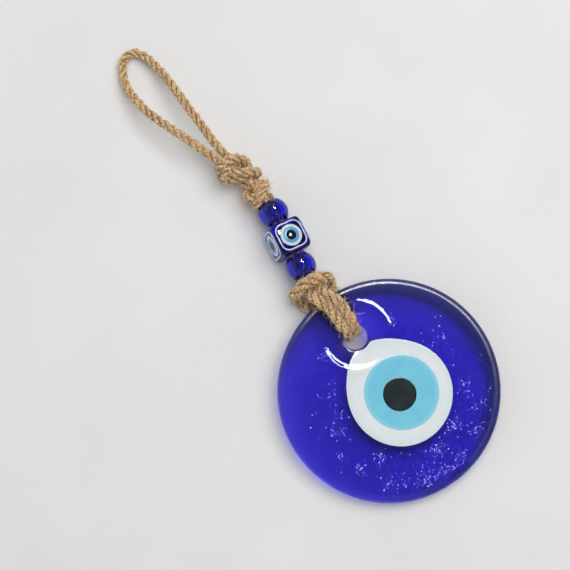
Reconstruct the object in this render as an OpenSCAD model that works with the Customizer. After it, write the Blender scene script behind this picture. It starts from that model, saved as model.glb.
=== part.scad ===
// Evil eye wall hanging, lying on its back.
// A cobalt glass disc with a fused glass eye hangs in a cow hitch of jute rope. Above the
// hitch the doubled rope carries a round, a cube and a round bead, two knots and a loop.
// +Z comes out of the eye's face, +Y points along the rope to the hanging loop.

/* [Glass disc] */
// Diameter of the disc
disc_d = 111; // [90:1:140]
// Thickness of the disc
disc_t = 7; // [5:0.5:10]
// Radius of the disc's rounded edge
edge_r = 2.6; // [1:0.1:3]
// Diameter of the hole the rope goes through
hole_d = 12.8; // [12:0.1:16]
// Distance from the disc's edge to the middle of the hole
hole_to_edge = 24.1; // [18:0.1:30]
// Sideways offset of the hole from the middle of the disc
hole_x = 0.7; // [-4:0.1:4]
// Diameter of the pressed crater around the hole
crater_d = 34; // [26:1:40]
// Depth of the crater at the hole
crater_depth = 1.2; // [0.4:0.1:2]

/* [Eye of the disc] */
// Diameter of the white layer
white_d = 52; // [40:0.2:58]
// Diameter of the light blue layer
iris_d = 37.6; // [28:0.2:39]
// Diameter of the black pupil
pupil_d = 16.8; // [10:0.2:20]
// How deep the white layer is sunk into the disc
white_sink = 2.4; // [2:0.1:3]
// How deep the light blue layer is sunk into the white one
iris_sink = 1.4; // [1:0.1:1.8]
// How deep the pupil is sunk into the light blue layer
pupil_sink = 0.8; // [0.4:0.1:1]
// How far each layer stands proud of the one around it
layer_proud = 0.2; // [0.1:0.05:0.4]

/* [Beads] */
// Diameter of the two round beads
bead_d = 15.3; // [13:0.1:20]
// Edge length of the cube bead
cube_w = 17; // [15:0.5:24]
// Rounding of the cube's edges
cube_r = 2.6; // [1.5:0.1:3]
// Diameter of the bore through each bead
bore_d = 9.2; // [8.8:0.1:11]
// Turn of the cube bead about the rope at rest
cube_roll = 15; // [-20:1:20]
// Gap between neighbours along the rope
bead_gap = 0.6; // [0.3:0.1:2]

/* [Eyes of the cube bead] */
// Diameter of the white layer
cube_white_d = 11.4; // [9:0.1:12]
// Diameter of the light blue layer
cube_iris_d = 8.6; // [6:0.1:8.8]
// Diameter of the black pupil
cube_pupil_d = 4.8; // [3:0.1:5.8]
// Sink of the white layer into the cube
cube_eye_sink = 1.5; // [1.2:0.1:1.8]

/* [Rope] */
// Diameter of the rope in the hanging loop
rope_d = 4.8; // [4:0.1:6]
// Diameter of the rope where the hitch has opened it
hitch_d = 5.8; // [4.8:0.1:6.2]
// Diameter of the two strands squeezed together inside the beads
core_d = 8.4; // [7:0.1:8.6]
// Distance from the disc's edge to the middle of the hitch's band
band_to_edge = 10.5; // [10:0.5:16]
// Lean of the row of beads to the right
row_lean = 7; // [-10:0.5:10]
// Lean of the two knots to the left
knot_lean = 13; // [-12:0.5:14]
// Diameter of the lower knot
lower_knot_d = 15; // [13:0.5:18]
// Length of the lower knot
lower_knot_l = 11; // [9:0.5:14]
// Diameter of the upper knot
upper_knot_d = 18; // [15:0.5:19]
// Length of the upper knot
upper_knot_l = 17; // [14:0.5:20]
// Bare rope between the upper bead and the lower knot
neck_l = 1.2; // [1:0.1:3]

/* [Hidden] */
$fn = 64;
CUBE_SIDES = ["front", "left", "back", "right"];
CUBE_LAYERS = ["white", "iris", "pupil"];

// Clearances
clear = 0.3;         // between pieces that move on each other
fuse_gap = 0.05;     // between glass layers that are fused
hole_chamfer = 1;    // bevel of the hole's back edge
tube_sides = 10;     // sides of the rope's simple tubes

// Disc: its far edge lies on the surface and the rope under it lifts the side with the hole
rope_r = rope_d / 2;
hitch_r = hitch_d / 2;
disc_r = disc_d / 2;
disc_y = -81.5;
hole_y = disc_r - hole_to_edge;
bridge_y = hole_y + hole_d / 2;
bridge_low = hole_y - hole_d / 2;
tilt = asin((hitch_d + clear) / (disc_r - edge_r + bridge_y));
disc_lift = (disc_r - edge_r) * sin(tilt) + edge_r * (1 - cos(tilt));
white_x = 3.5;
white_y = -4.2;
iris_x = 4.3;
iris_y = -4.1;
pupil_x = 2.9;
pupil_y = -4.4;

// Each layer stays inside the one around it, and the white one clear of the hole
white_w = min(white_d, 2 * (bridge_low - white_y - 3));
iris_w = min(iris_d, white_w - 10);
pupil_w = min(pupil_d, iris_w - 10);

// Rope axis: the cube bead stands on the surface on its rounded edge, or the knot lies on it
cube_reach = (cube_w / 2 - cube_r) * (cos(cube_roll) + abs(sin(cube_roll))) + cube_r;
axis_z = max(cube_reach, upper_knot_d / 2, bead_d / 2) + 0.1;
edge_y = disc_y + disc_r * cos(tilt);
row_x = -2.8;
row_y = edge_y + band_to_edge;

// Places along the row of beads, from the middle of the band
bead_half = sqrt(pow(bead_d / 2, 2) - pow(bore_d / 2, 2));
core_start = hitch_r;
lower_bead_s = hitch_r + bead_gap + bead_half;
cube_s = lower_bead_s + bead_half + bead_gap + cube_w / 2;
upper_bead_s = cube_s + cube_w / 2 + bead_gap + bead_half;
core_end = upper_bead_s + bead_half + bead_gap + neck_l;

// Middle of the doubled rope at the upper end of the beads, and the knots' axis from there
knots_x = row_x + core_end * sin(row_lean);
knots_y = row_y + core_end * cos(row_lean);
knots_l = lower_knot_l + upper_knot_l;
loop_x = knots_x - (knots_l + clear) * sin(knot_lean);
loop_y = knots_y + (knots_l + clear) * cos(knot_lean);

// Route of the hanging loop's middle line, from the top of the upper knot
LOOP_ROUTE = [
    [-2.6, -0.3, 0], [-3.4, 3, 0.3], [-5, 7.5, 1.2], [-7, 12.5, 1.8], [-9.2, 18, 2],
    [-11.5, 24, 2], [-14, 30, 1.8], [-16.2, 36, 1], [-18, 42, 0], [-19.2, 48, -1.5],
    [-19.8, 54, -3], [-19.8, 59.5, -4.5], [-18.8, 64.5, -5.8], [-17, 69, -6.8],
    [-14.4, 73, -7.2], [-10.5, 75.2, -7.4], [-6.8, 74.4, -7.3], [-4, 71.2, -7],
    [-2.2, 66, -6], [-1.2, 60, -4.6], [-0.5, 53, -2.8], [-0.3, 45, -1], [-0.2, 36, 0.6],
    [0, 28, 1.6], [0.2, 20, 2], [0.5, 12.5, 1.8], [1, 6.5, 1], [1.9, 3.1, 0.2],
    [2.5, 0.7, 0]
];

// The loop sinks from the knots' height to lie on the surface at its far bend
far_drop = 7.4;
loop_drop = (axis_z - rope_r - 0.1) / far_drop;

// A point given on the disc, in the part's frame
function on_disc(p) = [
    p.x,
    disc_y + p.y * cos(tilt) - p.z * sin(tilt),
    disc_lift + p.y * sin(tilt) + p.z * cos(tilt)
];

// A point given from the middle of the band along the row of beads, in the part's frame
function on_row(p) = [
    row_x + p.x * cos(row_lean) + p.y * sin(row_lean),
    row_y - p.x * sin(row_lean) + p.y * cos(row_lean),
    axis_z + p.z
];

function unit(v) = v / norm(v);

// Catmull-Rom curve through a list of points
function spline_at(a, b, c, d, t) =
    0.5 * (2 * b + (c - a) * t + (2 * a - 5 * b + 4 * c - d) * t * t
    + (3 * b - a - 3 * c + d) * t * t * t);
function smooth(p, steps) =
    let (last = len(p) - 1)
    [
        for (i = [0 : last - 1])
            for (j = [0 : steps - 1])
                spline_at(p[max(i - 1, 0)], p[i], p[i + 1], p[min(i + 2, last)], j / steps),
        p[last]
    ];

// One ring of a tube around a point of its route
function ring(here, along, across, r, sides) =
    let (u = unit(cross(across, along)), v = cross(unit(along), u))
    [for (k = [0 : sides - 1]) here + r * (cos(360 * k / sides) * u + sin(360 * k / sides) * v)];

// Closed tube along a route that never runs parallel to across
module tube(route, r, across, steps = 2, sides = tube_sides) {
    path = smooth(route, steps);
    last = len(path) - 1;
    points = [
        for (i = [0 : last])
            each ring(path[i], path[min(i + 1, last)] - path[max(i - 1, 0)], across, r, sides)
    ];
    walls = [
        for (i = [0 : last - 1])
            for (k = [0 : sides - 1])
                let (n = (k + 1) % sides)
                [i * sides + k, i * sides + n, (i + 1) * sides + n, (i + 1) * sides + k]
    ];
    start_cap = [for (k = [0 : sides - 1]) sides - 1 - k];
    end_cap = [for (k = [0 : sides - 1]) last * sides + k];
    polyhedron(points, concat([start_cap], walls, [end_cap]), convexity = 6);
}

// Disc frame: origin at the middle of the disc's back
module in_disc() {
    translate([0, disc_y, disc_lift])
        rotate([tilt, 0, 0])
            children();
}

// Crater pressed into the face around the hole
module crater() {
    translate([hole_x, hole_y, disc_t - crater_depth])
        cylinder(h = crater_depth + 1, r1 = hole_d / 2, r2 = crater_r_above(1));
}

function crater_r_above(rise) =
    hole_d / 2 + (crater_d - hole_d) / 2 * (crater_depth + rise) / crater_depth;

module glass_disc() {
    color("mediumblue")
        in_disc()
            difference() {
                rotate_extrude($fn = 128)
                    disc_half();
                crater();
                translate([hole_x, hole_y, -1])
                    cylinder(h = disc_t + 2, d = hole_d);
                translate([hole_x, hole_y, -0.01])
                    cylinder(h = hole_chamfer, r1 = hole_d / 2 + hole_chamfer, r2 = hole_d / 2);
                layer_pocket(white_x, white_y, white_w, disc_t - white_sink);
            }
}

// Half section of the disc with its rounded edge
module disc_half() {
    square([disc_r - edge_r, disc_t]);
    translate([0, edge_r])
        square([disc_r, disc_t - 2 * edge_r]);
    for (z = [edge_r, disc_t - edge_r])
        translate([disc_r - edge_r, z])
            circle(r = edge_r, $fn = 32);
}

// Room for a fused layer that starts at a height
module layer_pocket(x, y, d, z) {
    translate([x, y, z])
        cylinder(h = disc_t, d = d);
}

// Fused layer between two heights
module layer(x, y, d, z, top) {
    translate([x, y, z])
        cylinder(h = top - z, d = d - 2 * fuse_gap);
}

module eye_white() {
    color("whitesmoke")
        in_disc()
            difference() {
                layer(white_x, white_y, white_w, disc_t - white_sink, disc_t + layer_proud);
                layer_pocket(iris_x, iris_y, iris_w, disc_t - iris_sink);
                crater();
            }
}

module eye_iris() {
    color("skyblue")
        in_disc()
            difference() {
                layer(iris_x, iris_y, iris_w, disc_t - iris_sink, disc_t + 2 * layer_proud);
                layer_pocket(pupil_x, pupil_y, pupil_w, disc_t - pupil_sink);
            }
}

module eye_pupil() {
    color([0.1, 0.12, 0.12])
        in_disc()
            layer(pupil_x, pupil_y, pupil_w, disc_t - pupil_sink, disc_t + 3 * layer_proud);
}

// Row frame: +Y along the doubled rope, origin at a distance from the middle of the band
module in_row(s) {
    translate([row_x, row_y, axis_z])
        rotate([0, 0, -row_lean])
            translate([0, s, 0])
                children();
}

module round_bead(s) {
    in_row(s)
        rotate([90, 0, 0])
            difference() {
                sphere(d = bead_d);
                cylinder(h = bead_d, d = bore_d, center = true);
            }
}

module lower_bead() {
    color("mediumblue")
        round_bead(lower_bead_s);
}

module upper_bead() {
    color("mediumblue")
        round_bead(upper_bead_s);
}

// Cube frame at one of its four sides, +Z out of that side
module on_cube_side(side) {
    in_row(cube_s)
        rotate([0, cube_roll - 90 * side, 0])
            translate([0, 0, cube_w / 2])
                children();
}

module cube_bead() {
    inner = cube_w / 2 - cube_r;
    color("mediumblue")
        difference() {
            in_row(cube_s)
                rotate([0, cube_roll, 0])
                    difference() {
                        hull()
                            for (x = [-inner, inner], y = [-inner, inner], z = [-inner, inner])
                                translate([x, y, z])
                                    sphere(r = cube_r, $fn = 24);
                        rotate([90, 0, 0])
                            cylinder(h = cube_w + 1, d = bore_d, center = true);
                    }
            for (side = [0 : 3])
                on_cube_side(side)
                    translate([0, 0, -cube_eye_sink])
                        cylinder(h = cube_eye_sink + 1, d = cube_white_d);
        }
}

// Layers of a cube eye: each is sunk into the one before it, two thirds as deep
module cube_layer(side, d, sink, proud, next_d, next_sink) {
    on_cube_side(side)
        difference() {
            translate([0, 0, -sink])
                cylinder(h = sink + proud, d = d - 2 * fuse_gap);
            translate([0, 0, -next_sink])
                cylinder(h = sink + proud, d = next_d);
        }
}

module cube_white(side) {
    color("whitesmoke")
        cube_layer(side, cube_white_d, cube_eye_sink, 0.1, cube_iris_d, cube_eye_sink * 0.6);
}

module cube_iris(side) {
    color("skyblue")
        cube_layer(side, cube_iris_d, cube_eye_sink * 0.6, 0.2, cube_pupil_d, cube_eye_sink * 0.3);
}

module cube_pupil(side) {
    color([0.1, 0.12, 0.12])
        on_cube_side(side)
            translate([0, 0, -cube_eye_sink * 0.3])
                cylinder(h = cube_eye_sink * 0.3 + 0.3, d = cube_pupil_d - 2 * fuse_gap);
}

// Middle of the two strands at their crossing over the disc's edge
edge_x = -0.9;
strand_x = hitch_r + 0.15;
face_z = disc_t + hitch_r + clear;
hole_mid = disc_t / 2;

// Front strand: out of the hole, over the face and the edge, under the band
function front_route(side) = [
    on_disc([hole_x + side * strand_x, hole_y - 0.2, hole_mid]),
    on_disc([hole_x + side * strand_x, hole_y - 0.2, hole_mid + 0.7]),
    on_disc([hole_x + side * strand_x, hole_y - 0.2, disc_t - 1.6]),
    on_disc([hole_x + side * strand_x, hole_y + 1.2, face_z - 1.2]),
    on_disc([hole_x + side * strand_x, hole_y + 4.6, face_z + 0.2]),
    on_disc([hole_x - 0.1 + side * strand_x, hole_y + 10, face_z + 0.1]),
    on_disc([hole_x - 0.4 + side * strand_x, disc_r - 5.5, face_z + 0.2]),
    on_disc([edge_x + side * strand_x, disc_r + 0.2, face_z - 0.4]),
    on_row([1.2 + side * strand_x, -5.5, 2]),
    on_row([0.2 + side * strand_x, -1, 0]),
    on_row([side * strand_x, core_start - 1.2, 0]),
    on_row([side * strand_x, core_start - 0.2, 0])
];

// The band's middle line stays this far from each strand's middle line
wrap_r = hitch_d + 0.6;
wrap_lag = 1.6;

// Middle line of the band at an angle about one strand, 0 to the right, 90 on top
function wrap_at(side, angle) = on_row([
    side * strand_x + wrap_r * cos(angle),
    -wrap_lag * abs(cos(angle)),
    wrap_r * sin(angle)
]);

band_route = concat(
    [wrap_at(-1, 180) - [0, 0, 0.6]],
    [for (angle = [180 : -22.5 : 90]) wrap_at(-1, angle)],
    [for (angle = [90 : -22.5 : 0]) wrap_at(1, angle)],
    [wrap_at(1, 0) - [0, 0, 0.6]]
);

// Back strand: from the band's end down beside the two strands, under the disc, to the hole
function back_route(side) =
    let (top = wrap_at(side, side < 0 ? 180 : 0), low = hitch_r + 0.9)
    [
        top - [0, 0, 0.7],
        top - [0, 0, 1.4],
        top - [0, 0, 2.4],
        [top.x - side * 0.1, top.y - 1.2, low + 0.66 * (top.z - 2.4 - low)],
        [top.x - side * 0.5, top.y - 4.2, low],
        [top.x - side * 1.6, top.y - 9, hitch_r + 0.3],
        [hole_x + side * 7, edge_y - 6, hitch_r + 0.3],
        on_disc([hole_x + side * 4, bridge_y + 3.5, -hitch_r - clear]),
        on_disc([hole_x + side * (strand_x + 0.1), hole_y + 5, -hitch_r - 0.2]),
        on_disc([hole_x + side * strand_x, hole_y + 1.3, -hitch_r + 1.2]),
        on_disc([hole_x + side * strand_x, hole_y - 0.2, 1.4]),
        on_disc([hole_x + side * strand_x, hole_y - 0.2, hole_mid - 0.8]),
        on_disc([hole_x + side * strand_x, hole_y - 0.2, hole_mid - 0.1])
    ];

module rope() {
    color("burlywood")
        children();
}

module hitch_front_left() {
    rope()
        tube(front_route(-1), hitch_r, [1, 0, 0]);
}

module hitch_front_right() {
    rope()
        tube(front_route(1), hitch_r, [1, 0, 0]);
}

module hitch_back_left() {
    rope()
        tube(back_route(-1), hitch_r, [1, 0, 0]);
}

module hitch_back_right() {
    rope()
        tube(back_route(1), hitch_r, [1, 0, 0]);
}

module hitch_band() {
    rope()
        tube(band_route, hitch_r, [0, 1, 0], 1);
}

// Doubled rope through the beads' bores
module bead_cord() {
    rope()
        in_row(core_start)
            rotate([-90, 0, 0])
                cylinder(h = core_end - core_start, d = core_d);
}

// Knots frame: +Z along the rope, origin at the beads' end of the lower knot
module in_knots(s) {
    translate([knots_x, knots_y, axis_z])
        rotate([-90, 0, knot_lean])
            translate([0, 0, s])
                children();
}

// Plain knot: two turns of rope side by side around the middle
module knot(l, d) {
    turn_r = l / 4 + 1;
    rotate_extrude()
        intersection() {
            union() {
                square([d / 2 - turn_r, l]);
                for (z = [turn_r, l - turn_r])
                    translate([d / 2 - turn_r, z])
                        circle(r = turn_r);
            }
            square([d, l]);
        }
}

module lower_knot() {
    rope()
        in_knots(0)
            knot(lower_knot_l, lower_knot_d);
}

module upper_knot() {
    rope()
        in_knots(lower_knot_l)
            knot(upper_knot_l, upper_knot_d);
}

// Cut end of the rope, beside the upper knot
module cord_end() {
    rope()
        in_knots(knots_l - upper_knot_l / 4 - 1)
            rotate([0, 0, 35])
                rotate([0, -90, 0])
                    translate([0, 0, upper_knot_d / 2 - 1])
                        cylinder(h = 3, d = rope_d);
}

module hanging_loop() {
    rope()
        translate([loop_x, loop_y, axis_z])
            tube([for (p = LOOP_ROUTE) [p.x, p.y, p.z * loop_drop]], rope_r, [0, 0, 1]);
}

glass_disc();
eye_white();
eye_iris();
eye_pupil();
lower_bead();
cube_bead();
upper_bead();
for (side = [0 : 3]) {
    cube_white(side);
    cube_iris(side);
    cube_pupil(side);
}
hitch_front_left();
hitch_front_right();
hitch_back_left();
hitch_back_right();
hitch_band();
bead_cord();
lower_knot();
upper_knot();
cord_end();
hanging_loop();
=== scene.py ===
"""Evil eye wall hanging: a cobalt glass disc and glass beads on a knotted jute rope."""
import logging
import math
from dataclasses import dataclass
from enum import Enum
from typing import Callable, Iterable, Sequence

import bmesh
import bpy
import numpy as np
from mathutils import Matrix, Vector
from mathutils.kdtree import KDTree


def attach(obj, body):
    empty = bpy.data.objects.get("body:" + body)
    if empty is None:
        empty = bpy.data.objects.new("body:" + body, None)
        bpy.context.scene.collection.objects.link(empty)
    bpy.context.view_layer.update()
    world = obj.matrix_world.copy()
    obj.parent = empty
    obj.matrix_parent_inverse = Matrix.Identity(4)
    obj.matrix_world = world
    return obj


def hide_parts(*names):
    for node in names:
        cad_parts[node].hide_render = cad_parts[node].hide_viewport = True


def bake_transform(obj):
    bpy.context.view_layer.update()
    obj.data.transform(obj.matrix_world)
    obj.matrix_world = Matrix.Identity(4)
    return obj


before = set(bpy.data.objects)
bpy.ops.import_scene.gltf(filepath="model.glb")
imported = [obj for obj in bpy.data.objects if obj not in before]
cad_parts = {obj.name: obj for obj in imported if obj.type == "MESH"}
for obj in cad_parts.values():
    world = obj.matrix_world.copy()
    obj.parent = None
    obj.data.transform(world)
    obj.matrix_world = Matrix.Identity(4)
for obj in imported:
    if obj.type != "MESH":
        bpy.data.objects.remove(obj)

LOG = logging.getLogger("evil_eye")
MM = 0.001
CLEAR = 0.05  # millimetres kept between the rope and the floor
Colour = tuple[float, float, float]
Piece = bpy.types.Object
Socket = bpy.types.NodeSocket
Material = bpy.types.Material
Mesh = bmesh.types.BMesh
Squeeze = Callable[[np.ndarray], np.ndarray]


class CubeSide(Enum):
    """The four sides of the cube bead that carry an eye, as quarter turns about the rope."""

    FRONT = 0
    LEFT = 1
    BACK = 2
    RIGHT = 3


class Strand(Enum):
    """One of the two strands of the doubled rope, by the side of the hitch it lies on."""

    LEFT = -1
    RIGHT = 1


# ------------ frames and lines


def turned(angle: float, axis: str) -> Matrix:
    """Rotation by an angle in degrees about a named axis."""
    return Matrix.Rotation(math.radians(angle), 4, axis)


def place(matrix: Matrix, points: np.ndarray) -> np.ndarray:
    """Points carried by a matrix.

    Args:
        matrix: the 4x4 matrix of a frame.
        points: an array of points, three numbers each.

    Returns:
        The carried points, in an array of the same shape.
    """
    m = np.array(matrix)
    return points @ m[:3, :3].T + m[:3, 3]


def unit(vectors: np.ndarray) -> np.ndarray:
    """Vectors divided by their lengths."""
    return vectors / np.maximum(np.linalg.norm(vectors, axis=-1, keepdims=True), 1e-9)


def smooth_line(points: Sequence[Sequence[float]], step: float) -> np.ndarray:
    """Even points on a smooth curve through a few given ones.

    Args:
        points: the points that the curve passes through.
        step: the spacing of the even points.

    Returns:
        The even points, in an array.
    """
    p = np.array(points, float)
    before = np.vstack([2 * p[0] - p[1], p[:-1]])[:-1]
    after = np.vstack([p[2:], 2 * p[-1] - p[-2]])
    t = np.linspace(0, 1, 16, endpoint=False)[None, :, None]
    a, b, c, d = before[:, None], p[:-1, None], p[1:, None], after[:, None]
    curve = 0.5 * (
        2 * b + (c - a) * t + (2 * a - 5 * b + 4 * c - d) * t**2 + (3 * b - a - 3 * c + d) * t**3
    )
    return even_line(np.vstack([curve.reshape(-1, 3), p[-1]]), step)


def run_along(line: np.ndarray) -> np.ndarray:
    """The distance from a line's start to each of its points, measured along it."""
    return np.concatenate([[0], np.cumsum(np.linalg.norm(np.diff(line, axis=0), axis=1))])


def even_line(line: np.ndarray, step: float) -> np.ndarray:
    """A line resampled to an even spacing near a step, with its two ends kept."""
    run = run_along(line)
    at = np.linspace(0, run[-1], max(2, int(round(run[-1] / step)) + 1))
    return np.stack([np.interp(at, run, line[:, k]) for k in range(3)], axis=1)


def carried_axes(line: np.ndarray) -> tuple[np.ndarray, np.ndarray]:
    """Two axes across a line at each of its points, carried along it without twist.

    Args:
        line: the points of the line.

    Returns:
        The first and the second axis at each point.
    """
    along = unit(np.gradient(line, axis=0))
    start = np.cross(along[0], [0.0, 0.0, 1.0])
    if np.linalg.norm(start) < 0.2:
        start = np.cross(along[0], [1.0, 0.0, 0.0])
    first = np.empty_like(line)
    first[0] = unit(start)
    for i in range(1, len(line)):
        side = first[i - 1] - along[i] * (first[i - 1] @ along[i])
        first[i] = side / max(np.linalg.norm(side), 1e-9)
    return first, np.cross(along, first)


# ------------ mesh workshop


class Workshop:
    """Turns lines and sections in millimetres into finished pieces in the part's frame."""

    @staticmethod
    def finish(bm: Mesh, name: str, seat: Matrix) -> Piece:
        """Seats a mesh, turns its faces outwards and links it as a piece.

        Args:
            bm: the mesh, in millimetres; it is freed.
            name: the piece's name.
            seat: the frame that the mesh is drawn in, in millimetres.

        Returns:
            The new object, with its place in its mesh.
        """
        bmesh.ops.transform(bm, matrix=Matrix.Scale(MM, 4) @ seat, verts=bm.verts[:])
        bmesh.ops.recalc_face_normals(bm, faces=bm.faces[:])
        mesh = bpy.data.meshes.new(name)
        bm.to_mesh(mesh)
        bm.free()
        return Workshop.link(mesh, name)

    @staticmethod
    def link(mesh: bpy.types.Mesh, name: str) -> Piece:
        """Links a mesh as a smooth shaded object of a given name."""
        mesh.polygons.foreach_set("use_smooth", [True] * len(mesh.polygons))
        piece = bpy.data.objects.new(name, mesh)
        bpy.context.scene.collection.objects.link(piece)
        return piece

    @staticmethod
    def dress(
        piece: Piece, finish: Material, slot: str, node: str | None = None, body: str | None = None
    ) -> Piece:
        """Gives a piece its material and its place in the assembly.

        Args:
            piece: the piece.
            finish: its material.
            slot: the record's material slot; not used.
            node: the CAD node that it stands for, if any.
            body: the body that it rides on, if any.

        Returns:
            The piece.
        """
        piece.data.materials.append(finish)
        if node:
            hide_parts(node)
        if body:
            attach(piece, body)
        return piece

    @staticmethod
    def lathe(section: Sequence[tuple[float, float]], steps: int) -> Mesh:
        """Spins a half section about +Z into a closed solid.

        Args:
            section: radius and height of each corner of the half section.
            steps: segments of the full turn.

        Returns:
            The mesh, with its poles and seam closed.
        """
        bm = bmesh.new()
        verts = [bm.verts.new((r, 0.0, z)) for r, z in section]
        edges = [bm.edges.new(pair) for pair in zip(verts, verts[1:])]
        bmesh.ops.spin(
            bm, geom=verts + edges, cent=(0, 0, 0), axis=(0, 0, 1), angle=math.tau,
            steps=steps, use_merge=True, use_duplicate=False,
        )
        bmesh.ops.remove_doubles(bm, verts=bm.verts[:], dist=1e-4)
        return bm

    @staticmethod
    def shell(rings: np.ndarray) -> Mesh:
        """Extrudes a circle through a list of rings into a closed ring-shaped skin.

        Args:
            rings: the rings in order, each with the same number of points; the skin
                closes from the last ring back to the first one.

        Returns:
            The closed mesh.
        """
        around = rings.shape[1]
        stack = np.concatenate([rings, rings[:1]])
        bm = bmesh.new()
        bmesh.ops.create_circle(bm, cap_ends=False, radius=1, segments=around)
        edges = bm.edges[:]
        for _ in range(len(stack) - 1):
            grown = bmesh.ops.extrude_edge_only(bm, edges=edges)["geom"]
            edges = [g for g in grown if isinstance(g, bmesh.types.BMEdge)]
            lifted = [g for g in grown if isinstance(g, bmesh.types.BMVert)]
            bmesh.ops.translate(bm, verts=lifted, vec=(0, 0, 1))
        for vert in bm.verts:
            turn = math.atan2(vert.co.y, vert.co.x) / math.tau
            vert.co = stack[round(vert.co.z)][round(turn * around) % around]
        bmesh.ops.remove_doubles(bm, verts=bm.verts[:], dist=1e-4)
        return bm

    @staticmethod
    def note(piece: Piece, name: str, values: Iterable[float]) -> None:
        """Writes one number per vertex into a named attribute that a finish can read."""
        attribute = piece.data.attributes.new(name, "FLOAT", "POINT")
        attribute.data.foreach_set("value", np.asarray(values, np.float32))

    @staticmethod
    def corners(piece: Piece) -> np.ndarray:
        """The vertices of a piece, in millimetres."""
        flat = np.empty(len(piece.data.vertices) * 3, np.float32)
        piece.data.vertices.foreach_get("co", flat)
        return flat.reshape(-1, 3).astype(float) / MM

    @staticmethod
    def threads(
        name: str, lines: Sequence[np.ndarray], radii: Sequence[np.ndarray], roundness: int,
        shift: float = 0.0,
    ) -> Piece:
        """Makes one piece of many round threads, each along its own line.

        Args:
            name: the piece's name.
            lines: the middle line of each thread, in millimetres.
            radii: the thread's radius at each point of its line, in millimetres.
            roundness: bevel resolution of the threads, 0 for four sides and 1 for six.
            shift: how far the pattern map moves from one thread to the next, in millimetres.

        Returns:
            The piece, with a UV map in millimetres along and turns around each thread.
        """
        curve = bpy.data.curves.new(name, "CURVE")
        curve.dimensions = "3D"
        curve.bevel_depth = MM
        curve.bevel_resolution = roundness
        curve.use_fill_caps = True
        for line, radius in zip(lines, radii):
            spline = curve.splines.new("POLY")
            spline.points.add(len(line) - 1)
            flat = np.column_stack([line * MM, np.ones(len(line))]).astype(np.float32)
            spline.points.foreach_set("co", flat.ravel())
            spline.points.foreach_set("radius", np.asarray(radius, np.float32))
        holder = bpy.data.objects.new(name + "_line", curve)
        bpy.context.scene.collection.objects.link(holder)
        bpy.context.view_layer.update()
        ready = holder.evaluated_get(bpy.context.evaluated_depsgraph_get())
        mesh = bpy.data.meshes.new_from_object(ready)
        mesh.name = name
        bpy.data.objects.remove(holder)
        bpy.data.curves.remove(curve)
        Workshop.scale_map(mesh, lines, 4 + 2 * roundness, shift)
        bm = bmesh.new()
        bm.from_mesh(mesh)
        bmesh.ops.remove_doubles(bm, verts=bm.verts[:], dist=1e-7)
        bm.to_mesh(mesh)
        bm.free()
        return Workshop.link(mesh, name)

    @staticmethod
    def scale_map(mesh: bpy.types.Mesh, lines: Sequence[np.ndarray], sides: int, shift: float) -> None:
        """Stretches each thread's pattern map to millimetres along the thread.

        Args:
            mesh: the mesh of all the threads, one after the other.
            lines: the middle line of each thread.
            sides: sides of a thread.
            shift: how far the map moves from one thread to the next.
        """
        layer = mesh.uv_layers[0]
        layer.name = "ThreadMap"
        flat = np.empty(len(mesh.loops) * 2, np.float32)
        layer.uv.foreach_get("vector", flat)
        uv = flat.reshape(-1, 2)
        corner = np.empty(len(mesh.loops), np.int32)
        mesh.loops.foreach_get("vertex_index", corner)
        sizes = np.array([len(line) * sides + 2 * sides for line in lines])
        owner = np.searchsorted(np.cumsum(sizes), corner, side="right")
        owner = np.minimum(owner, len(lines) - 1)
        spans = np.array([np.linalg.norm(np.diff(q, axis=0), axis=1).sum() for q in lines])
        uv[:, 0] = uv[:, 0] * spans[owner] + owner * shift
        uv[:, 1] += owner * 0.37
        layer.uv.foreach_set("vector", uv.ravel())


# ------------ finishes


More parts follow.
